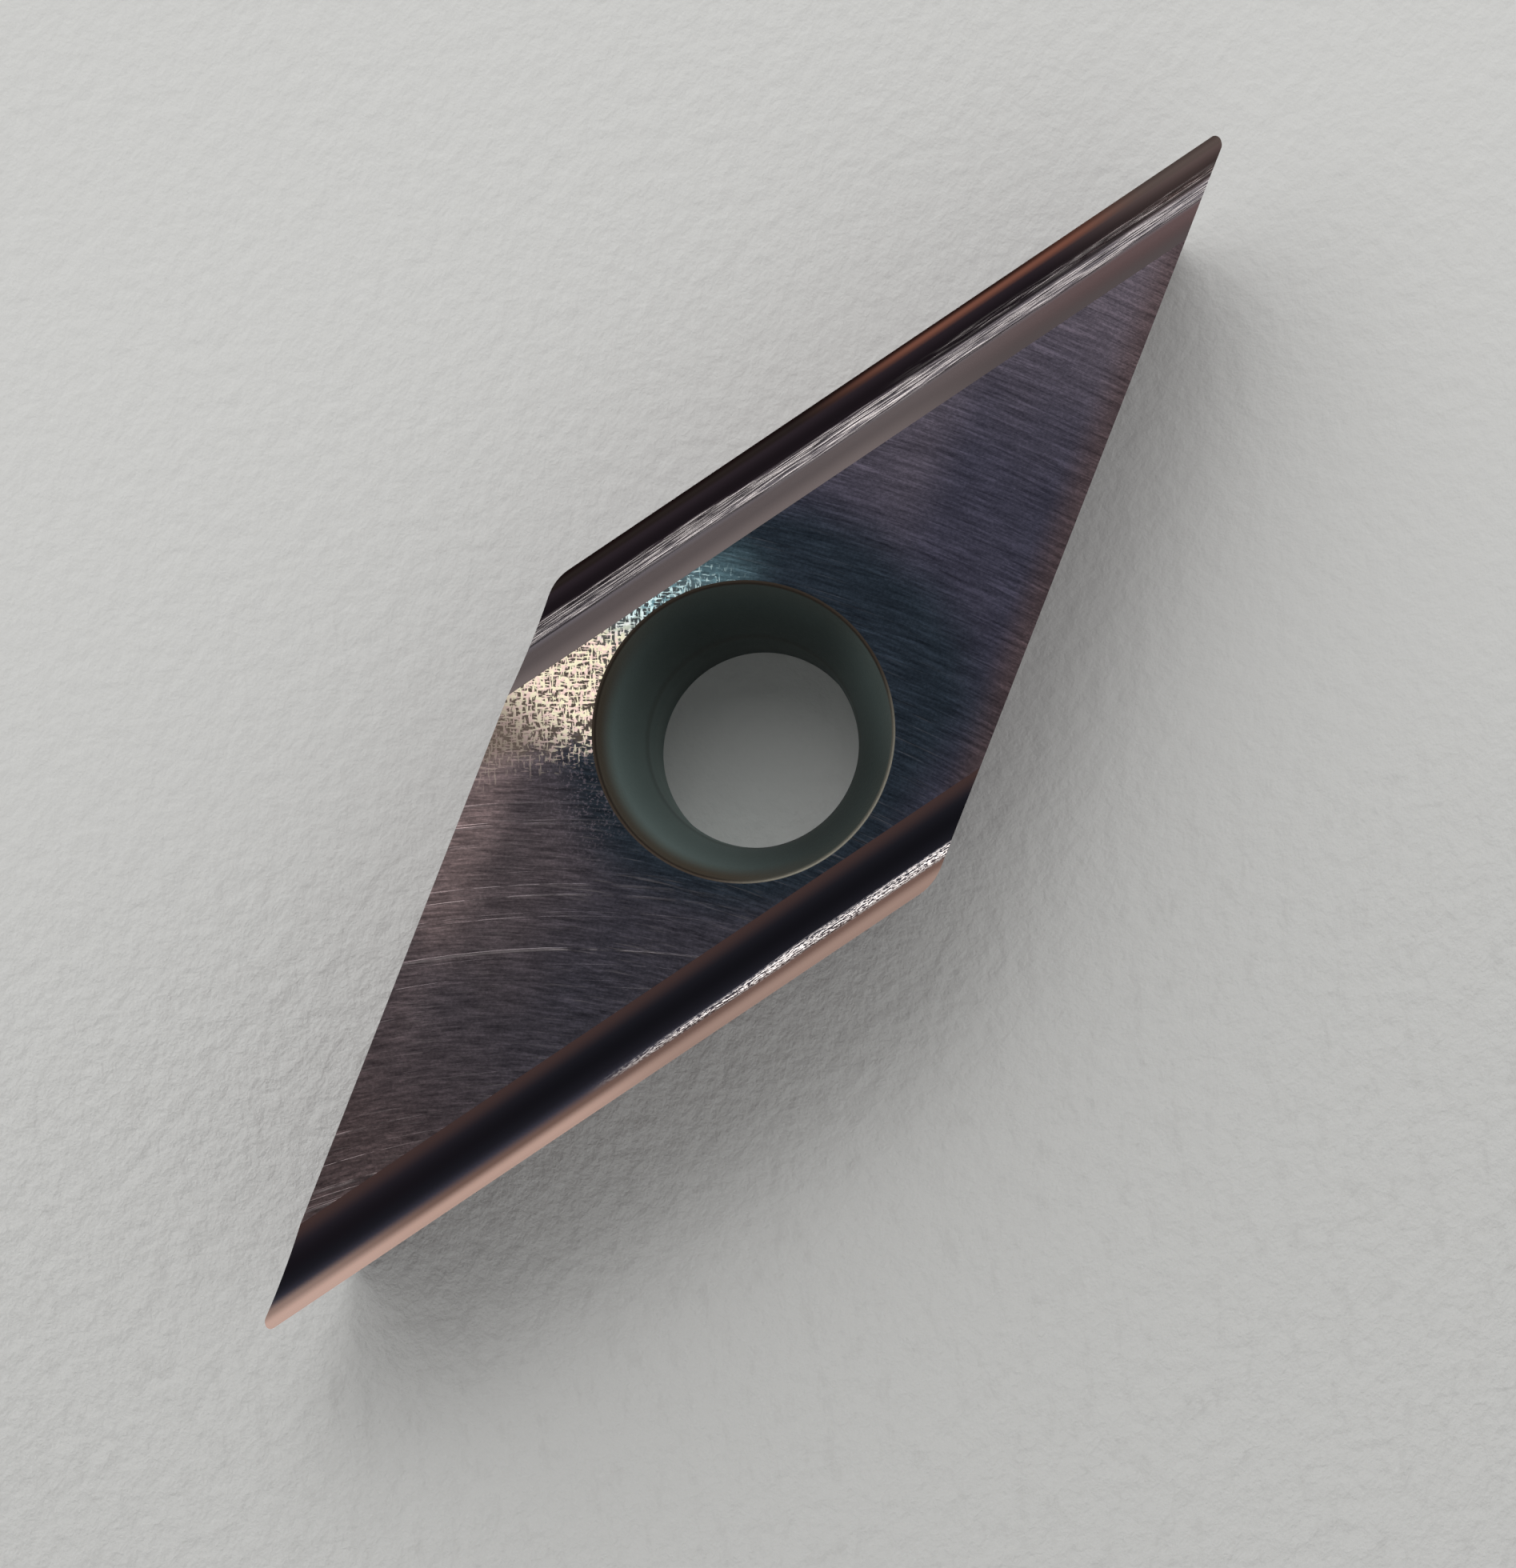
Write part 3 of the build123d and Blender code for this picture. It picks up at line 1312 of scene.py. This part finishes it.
# Trailing groove: a bright copper land that faces the lamps, and painted shade on the floor and
# back wall, which face away from them.
TRAILING_TINT_AND_LIGHT = Bands(
    land=((0.212, 0.143, 0.119), (0.300, 0.202, 0.168), (0.330, 0.226, 0.190)),
    slope=((0.090, 0.055, 0.045), (0.170, 0.116, 0.098)),
    floor=(0.033, 0.032, 0.044),
    wall=((0.026, 0.025, 0.034), (0.034, 0.028, 0.038)),
    border=((0.078, 0.046, 0.043), (0.078, 0.046, 0.043)),
    slope_inset=(0.10, 0.21),
    glint_inset=(0.25, 0.32),
    wall_inset=(0.42, 0.60),
    glint_runs=(4.6, 2.4),
    blunt_shift=(0.0, -0.05),
    edge_shade=0.08,
)


@dataclass(frozen=True)
class GrooveFinish(Finish):
    """Ground groove: copper land, smooth slope, glinting floor and smooth back wall, with painted
    light and shade across it and painted glints on the floor.

    Insets are in from the cutting edge, and runs go along the groove to its sharp corner.
    """

    name = "ground_groove"
    relief_height = 0.008
    roughness = 0.27
    blank: Blank = field(default_factory=Blank)
    leading: Bands = LEADING_TINT_AND_LIGHT
    trailing: Bands = TRAILING_TINT_AND_LIGHT
    # Colours of the painted glints on the groove's floor, and of the painted shade along the
    # cutting edge.
    glint: Colour = (0.54, 0.49, 0.48)
    bright: Colour = (0.86, 0.79, 0.76)
    edge_shade_colour: Colour = (0.012, 0.006, 0.006)
    polish: float = 0.05
    fleck_level: Pair = (0.46, 0.56)
    mid_run: Pair = (2.8, 5.2)
    tip_run: Pair = (7.2, 8.8)
    slope_run: Pair = (6.5, 9.5)
    wall_run: Pair = (4.0, 8.0)
    border_run: Pair = (3.2, 6.0)
    border_inset: Pair = (0.74, 0.95)
    edge_shade_inset: Pair = (0.018, 0.075)
    edge_shade_end_inset: Pair = (0.07, 0.12)
    edge_shade_run: Pair = (6.0, 9.0)
    early_inset: Pair = (0.27, 0.33)
    early_end_inset: Pair = (0.41, 0.37)
    early_run: Pair = (4.0, 5.8)
    dimmed_run: Pair = (3.8, 6.2)
    widened_run: Pair = (3.5, 6.0)
    blunt_run: Pair = (2.6, 0.8)

    def surface(self, graph: Graph, place: Field) -> Surface:
        """Bands across the groove, with their painted light and shade, and wheel streaks along it
        with painted glints.

        Args:
            graph: tree to add to.
            place: coordinates in millimetres.

        Returns:
            Colour, roughness, and relief as a share of the relief's height.
        """
        out = graph.dot(place, (*self.blank.outward, 0.0))
        lead = graph.math("GREATER_THAN", out, 0.0)
        run = graph.dot(place, (*self.blank.along, 0.0)) * (lead * 2.0 - 1.0)
        inset = self.blank.reach - abs(out)
        streak = graph.streaks(
            run * (15.0 - lead * 13.5), inset * (62.0 - lead * 16.0), lead * 9.0
        )
        hair = graph.streaks(run * 0.6, inset * 60.0, 5.0)
        wander = (graph.streaks(run * 0.9, 3.0, lead * 4.0, rough=0.5) - 0.5) * 0.08
        ragged = inset + wander * 0.3
        first, glint_first = self._bands(graph, self.leading, ragged, inset, run)
        second, glint_second = self._bands(graph, self.trailing, ragged, inset, run)
        # A second, earlier band of painted glints on the leading groove.
        early = ragged.rise(*self.early_inset) * inset.rise(*self.early_end_inset)
        early = early * run.rise(*self.early_run)
        glint_first = glint_first.most(early)
        colour = graph.mix(lead, second, first)
        ground = glint_second + (glint_first - glint_second) * lead
        fleck = streak * 0.6 + hair * 0.4
        # Painted glints: pale flecks where the floor would catch the lamps, dimmer along the
        # leading groove.
        dimmed = lead * (run.rise(*self.dimmed_run) * 0.34 + 0.14)
        lit = fleck.rise(*self.fleck_level) * ground * (1.0 - dimmed)
        colour = graph.mix(lit, colour, graph.mix(lead, self.bright, self.glint))
        roughness = self.roughness - ground * self.polish
        return colour, roughness, fleck * (ground * 0.95 + 0.05)

    def _bands(
        self, graph: Graph, bands: Bands, ragged: Field, inset: Field, run: Field
    ) -> tuple[Field, Field]:
        """Tints of one groove, with its painted light, shade and glints.

        Args:
            graph: tree to add to.
            bands: its tints and where they lie.
            ragged: inset with a wandering edge.
            inset: true inset.
            run: distance along the groove.

        Returns:
            The colour, and how strongly the surface glints.
        """
        dull, mid, tip = bands.land
        land = graph.mix(run.rise(*self.mid_run), dull, mid)
        land = graph.mix(run.rise(*self.tip_run), land, tip)
        # Painted shade: a dark line along the cutting edge, fading along the groove.
        honed = inset.rise(*self.edge_shade_inset) * (1.0 - inset.rise(*self.edge_shade_end_inset) * 0.3)
        dark = (1.0 - honed) * (1.0 - run.rise(*self.edge_shade_run) * 0.65) * bands.edge_shade
        land = graph.mix(dark, land, self.edge_shade_colour)
        slope = graph.mix(run.rise(*self.slope_run), *bands.slope)
        wall = graph.mix(run.rise(*self.wall_run), *bands.wall)
        colour = graph.mix(inset.rise(*bands.slope_inset), land, slope)
        start, stop = bands.glint_inset
        colour = graph.mix(inset.rise(start - 0.04, start + 0.08), colour, bands.floor)
        colour = graph.mix(inset.rise(*bands.wall_inset), colour, wall)
        border = graph.mix(run.rise(*self.border_run), *bands.border)
        colour = graph.mix(inset.rise(*self.border_inset), colour, border)
        blunt = run.rise(*self.blunt_run)
        early, late = bands.blunt_shift
        begun = ragged + blunt * early - run.rise(*self.widened_run) * 0.05
        begun = begun.rise(start - 0.02, start + 0.03)
        ended = (ragged + blunt * late).rise(stop + 0.03, stop - 0.03)
        ground = begun * ended * run.rise(*bands.glint_runs)
        return colour, ground


@dataclass(frozen=True)
class FlankFinish(Finish):
    """Ground flanks: level wheel marks under a copper brown coating, paler along the edge."""

    name = "ground_flank"
    relief_height = 0.003
    roughness = 0.29
    swing = 0.25
    blank: Blank = field(default_factory=Blank)
    brown: Colour = (0.158, 0.114, 0.112)
    plum: Colour = (0.122, 0.098, 0.118)
    copper: Colour = (0.300, 0.195, 0.165)
    pit: Colour = (0.060, 0.045, 0.050)
    tones: Stops = (
        (0.37, (0.76, 0.76, 0.77)),
        (0.50, (1.00, 1.00, 1.00)),
        (0.63, (1.32, 1.30, 1.30)),
    )
    fine_rows: float = 85.0
    broad_rows: float = 22.0
    slant_rows: float = 30.0
    plum_level: Pair = (0.30, 0.70)
    slant_level: Pair = (0.62, 0.76)
    slant_share: float = 0.15
    pit_level: Pair = (0.70, 0.76)
    pit_share: float = 0.8
    edge_band: Pair = (0.16, 0.02)
    edge_share: float = 0.55

    def surface(self, graph: Graph, place: Field) -> Surface:
        """Level wheel marks, a slow change of tint, a pale edge and scattered pits.

        Args:
            graph: tree to add to.
            place: coordinates in millimetres.

        Returns:
            Colour, roughness, and relief as a share of the relief's height.
        """
        x, y, z = parts_of(graph, place)
        fine = graph.streaks(x * 0.7, y * 0.7, z * self.fine_rows, 3.0)
        broad = graph.streaks(x * 0.25, y * 0.25, z * self.broad_rows, 3.0)
        slant = graph.streaks(x * 3.0 + z * 1.2, y * 3.0 + z * 1.2, z * self.slant_rows)
        grain = graph.noise(place, 30.0, 2.0, 0.6)
        tint = graph.streaks(x * 0.25, y * 0.25, z * 0.5, rough=0.5)
        marks = fine * 0.45 + broad * 0.30 + grain * 0.25
        colour = graph.mix(tint.rise(*self.plum_level), self.brown, self.plum)
        colour = graph.mix(1.0, colour, graph.ramp(marks, self.tones), "MULTIPLY")
        slanted = slant.rise(*self.slant_level) * self.slant_share
        colour = graph.mix(slanted, colour, self.copper)
        ragged = (broad - 0.5) * 0.10
        top, (low, high) = self.blank.thickness, self.edge_band
        edge = (z + ragged).rise(top - low, top - high)
        colour = graph.mix(edge * self.edge_share, colour, self.copper)
        colour = graph.mix(grain.rise(*self.pit_level) * self.pit_share, colour, self.pit)
        return colour, self.uneven(marks), marks + slant * 0.2


@dataclass(frozen=True)
class SeatFinish(Finish):
    """Satin screw hole: grey-green, with an orange-brown tint below the mouth; painted light makes
    the walls paler on one side, with painted shade at the neck and a painted highlight on the rim.
    """

    name = "satin_screw_hole"
    relief_height = 0.004
    roughness = 0.60
    swing = 0.15
    sage: Colour = (0.072, 0.090, 0.085)
    pale: Colour = (0.250, 0.320, 0.305)
    amber: Colour = (0.092, 0.056, 0.031)
    honed: Colour = (0.052, 0.040, 0.031)
    rim_highlight: Colour = (0.270, 0.260, 0.215)
    lobe_way: Pair = (-0.9, 0.35)
    lobe_turn: Pair = (1.7, 0.15)
    far_x: Pair = (0.6, 1.6)
    far_y: Pair = (0.1, -0.9)
    amber_way: Pair = (-0.95, 0.3)
    amber_reach: Pair = (-0.2, 1.6)
    amber_z: Pair = (2.72, 3.08)
    neck_z: Pair = (1.45, 1.60)
    neck_end_z: Pair = (1.85, 1.64)
    rim_highlight_y: Pair = (-0.8, -1.9)
    rim_z: Pair = (3.11, 3.15)

    def surface(self, graph: Graph, place: Field) -> Surface:
        """Fine pressed grain, the tint of the mouth, and painted light, shade and highlight.

        Args:
            graph: tree to add to.
            place: coordinates in millimetres.

        Returns:
            Colour, roughness, and relief as a share of the relief's height.
        """
        x, y, z = parts_of(graph, place)
        grain = graph.noise(place, 22.0, 3.0, 0.6)
        # Painted light: the walls are paler on one side, and a little on the +X, -Y side.
        left, up = self.lobe_way
        around = graph.math("ARCTAN2", y * left - x * up, y * up - x * -left)
        lobe = abs(around).rise(*self.lobe_turn)
        far_lobe = x.rise(*self.far_x) * y.rise(*self.far_y) * 0.28
        colour = graph.mix(lobe.most(far_lobe), self.sage, self.pale)
        # Orange-brown tint just below the mouth, all round, stronger on one side as painted light.
        left, up = self.amber_way
        side = (y * up - x * -left).rise(*self.amber_reach)
        colour = graph.mix(z.rise(*self.amber_z) * (side * 0.75 + 0.08), colour, self.amber)
        # Painted shade: a dark line in the crease at the neck.
        neck = z.rise(*self.neck_z) * z.rise(*self.neck_end_z)
        colour = graph.mix(neck * 0.3, colour, self.honed)
        # Dark brown rim with a painted highlight on its -Y side.
        rim = graph.mix(y.rise(*self.rim_highlight_y) * 0.6, self.honed, self.rim_highlight)
        colour = graph.mix(z.rise(*self.rim_z), colour, rim)
        return colour, self.uneven(grain), grain


@dataclass(frozen=True)
class BaseFinish(Finish):
    """Lapped base: fine marks crossed in three directions on a dull violet brown."""

    name = "lapped_base"
    relief_height = 0.003
    roughness = 0.36
    swing = 0.5
    dull: Colour = (0.135, 0.106, 0.118)
    worn: Colour = (0.235, 0.190, 0.192)
    turns: tuple[float, ...] = (22.0, 83.0, 141.0)
    marks_along: float = 0.5
    marks_across: float = 26.0
    worn_level: Pair = (0.40, 0.62)

    def surface(self, graph: Graph, place: Field) -> Surface:
        """Straight marks in each direction, over slow cloudy wear.

        Args:
            graph: tree to add to.
            place: coordinates in millimetres.

        Returns:
            Colour, roughness, and relief as a share of the relief's height.
        """
        x, y, _ = parts_of(graph, place)
        marks: Value = 0.0
        for turn in self.turns:
            c, s = math.cos(math.radians(turn)), math.sin(math.radians(turn))
            along, across = x * c + y * s, y * c - x * s
            lines = (along * self.marks_along, across * self.marks_across, turn)
            marks = graph.streaks(*lines, 3.0) + marks
        marks = marks / len(self.turns)
        cloud = graph.noise(place, 0.5, 3.0, 0.5)
        worn = (marks + (cloud - 0.5) * 0.35).rise(*self.worn_level)
        colour = graph.mix(worn, self.dull, self.worn)
        return colour, self.uneven(marks), marks


@dataclass(frozen=True)
class PaperFinish(Finish):
    """Drawing paper, darker towards one side as painted shade, with a deeper tooth and painted
    tooth shade on that side.
    """

    name = "drawing_paper"
    relief_height = 0.07
    roughness = 0.9
    bump_strength = 0.55
    shading = {"Specular IOR Level": 0.1}
    white: Colour = (0.62, 0.62, 0.605)
    shadow: Colour = (0.30, 0.29, 0.28)
    shade_share: float = 0.885
    slope_way: Pair = (0.68, 0.73)
    shade_reach: Pair = (-10.0, 8.0)
    shaded_side_reach: Pair = (1.0, -4.0)
    rough_gain: float = 1.2
    tooth_shade_scale: Pair = (1.6, 3.6)
    tooth_shade_level: Pair = (0.50, 0.30)
    tooth_shade_share: float = 0.12
    tooth_scale: float = 3.2

    def surface(self, graph: Graph, place: Field) -> Surface:
        """Tooth, painted tooth shade and the painted shade that darkens the sheet slowly to one
        side.

        Args:
            graph: tree to add to.
            place: coordinates in millimetres.

        Returns:
            Colour, roughness, and relief as a share of the relief's height.
        """
        part, rest = self.slope_way
        across = graph.dot(place, (part, rest, 0.0))
        along = graph.dot(place, (-rest, part, 0.0))
        shaded_side = across.rise(*self.shaded_side_reach)
        # Painted shade: the sheet darkens slowly towards one side.
        dull = tuple(value * self.shade_share for value in self.white)
        colour = graph.mix(across.rise(*self.shade_reach), dull, self.white)
        # Painted shade in the tooth, on the shaded side only.
        wide, high = self.tooth_shade_scale
        tooth_shade = graph.streaks(across * wide, along * high, 2.0, 4.0, 0.7)
        tooth_shade = tooth_shade.rise(*self.tooth_shade_level) * shaded_side * self.tooth_shade_share
        colour = graph.mix(tooth_shade, colour, self.shadow)
        tooth = graph.noise(place, self.tooth_scale, 5.0, 0.6)
        return colour, self.roughness, tooth * (1.0 + shaded_side * self.rough_gain)


# -------------------------------------------------------------------- studio


@dataclass(frozen=True)
class Panel:
    """Square soft panel that faces the insert, with its bearing and height in degrees."""

    name: str
    bearing: float
    height: float
    distance: float
    size: float
    power: float

    def aim(self) -> Vector:
        """Level direction towards the panel."""
        turn = math.radians(self.bearing)
        return Vector((math.cos(turn), math.sin(turn), 0.0))

    def build(self) -> None:
        """Adds the lamp."""
        lamp = bpy.data.lights.new(self.name, "AREA")
        lamp.shape = "SQUARE"
        lamp.size = self.size
        lamp.energy = self.power
        holder = placed(self.name, lamp)
        lift = math.radians(self.height)
        away = self.aim() * math.cos(lift) + Vector((0, 0, math.sin(lift)))
        holder.location = away * self.distance
        holder.rotation_euler = away.to_track_quat("Z", "Y").to_euler()


@dataclass(frozen=True)
class Studio:
    """Paper, soft light and camera."""

    paper: PaperFinish = field(default_factory=PaperFinish)
    paper_size: float = 1.2
    overhead: float = 0.17
    around: float = 0.97
    horizon: float = 1.35
    far_share: float = 0.68
    horizon_heights: Pair = (0.6, 0.1)
    overhead_heights: Pair = (0.80, 0.985)
    side_reach: Pair = (-0.6, 0.6)
    panels: tuple[Panel, ...] = (
        Panel("low_panel", 66.0, 32.0, 0.6, 0.7, 0.84),
        Panel("high_panel", 42.0, 58.0, 0.6, 0.3, 0.76),
    )
    camera_place: Point = (-2.489, -19.081, 148.622)
    camera_forward: Point = (0.01405, 0.12602, -0.99193)
    camera_right: Point = (0.62564, -0.77495, -0.0896)
    focal_pixels: float = 13555.0
    frame_height: float = 1960.0
    sensor: float = 36.0
    clip: Pair = (0.01, 10.0)

    def build(self) -> None:
        """Sets up the paper, the light and the camera."""
        self._paper()
        self._dome()
        for panel in self.panels:
            panel.build()
        self._camera()

    def _paper(self) -> None:
        """Sheet of paper under the insert."""
        half = self.paper_size / 2
        corners = [(-half, -half, 0), (half, -half, 0), (half, half, 0), (-half, half, 0)]
        data = bpy.data.meshes.new("paper_sheet")
        data.from_pydata(corners, [], [(0, 1, 2, 3)])
        data.materials.append(self.paper.material())
        placed("paper_sheet", data)

    def _dome(self) -> None:
        """Soft dome, dim overhead and pale round the horizon."""
        world = bpy.data.worlds.new("soft_dome")
        bpy.context.scene.world = world
        world.use_nodes = True
        world.node_tree.nodes.clear()
        graph = Graph(world.node_tree)
        way = graph.value("ShaderNodeTexCoord", None, None, "Generated")
        high = graph.dot(way, (0, 0, 1))
        low = self.around + (self.horizon - self.around) * high.rise(*self.horizon_heights)
        dome = low + (self.overhead - low) * high.rise(*self.overhead_heights)
        near = graph.dot(way, tuple(self.panels[0].aim())).rise(*self.side_reach)
        strength = dome * (self.far_share + (1.0 - self.far_share) * near)
        inputs = {"Color": (1.0, 1.0, 1.0), "Strength": strength}
        shader = graph.node("ShaderNodeBackground", None, inputs)
        graph.node("ShaderNodeOutputWorld", None, {"Surface": shader.outputs[0]})

    def _camera(self) -> None:
        """Camera almost overhead, leaning to the side of the second groove."""
        forward = Vector(self.camera_forward).normalized()
        right = Vector(self.camera_right)
        right = (right - forward * right.dot(forward)).normalized()
        up = right.cross(forward)
        data = bpy.data.cameras.new("camera")
        data.sensor_width = self.sensor
        data.lens = self.focal_pixels / self.frame_height * self.sensor
        data.clip_start, data.clip_end = self.clip
        camera = placed("camera", data)
        turn = Matrix((right, up, -forward)).transposed().to_4x4()
        camera.matrix_world = Matrix.Translation(Vector(self.camera_place) * MM) @ turn
        bpy.context.scene.camera = camera


def main() -> None:
    """Builds the insert and its studio, and reports each piece."""
    logging.basicConfig(level=logging.INFO, format="%(message)s")
    bpy.context.scene.view_settings.view_transform = "Standard"
    finishes: dict[Zone, Finish] = {
        Zone.RAKE: RakeFinish(), Zone.GROOVE: GrooveFinish(), Zone.FLANK: FlankFinish(),
        Zone.SEAT: SeatFinish(), Zone.BASE: BaseFinish(),
    }
    materials = {zone: finish.material() for zone, finish in finishes.items()}
    body = InsertBody().build(materials, RidgeForm())
    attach(body, "root")
    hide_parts("insert_body")
    LOG.info("%s: %d faces", body.name, len(body.data.polygons))
    Studio().build()


if __name__ == "__main__":
    main()
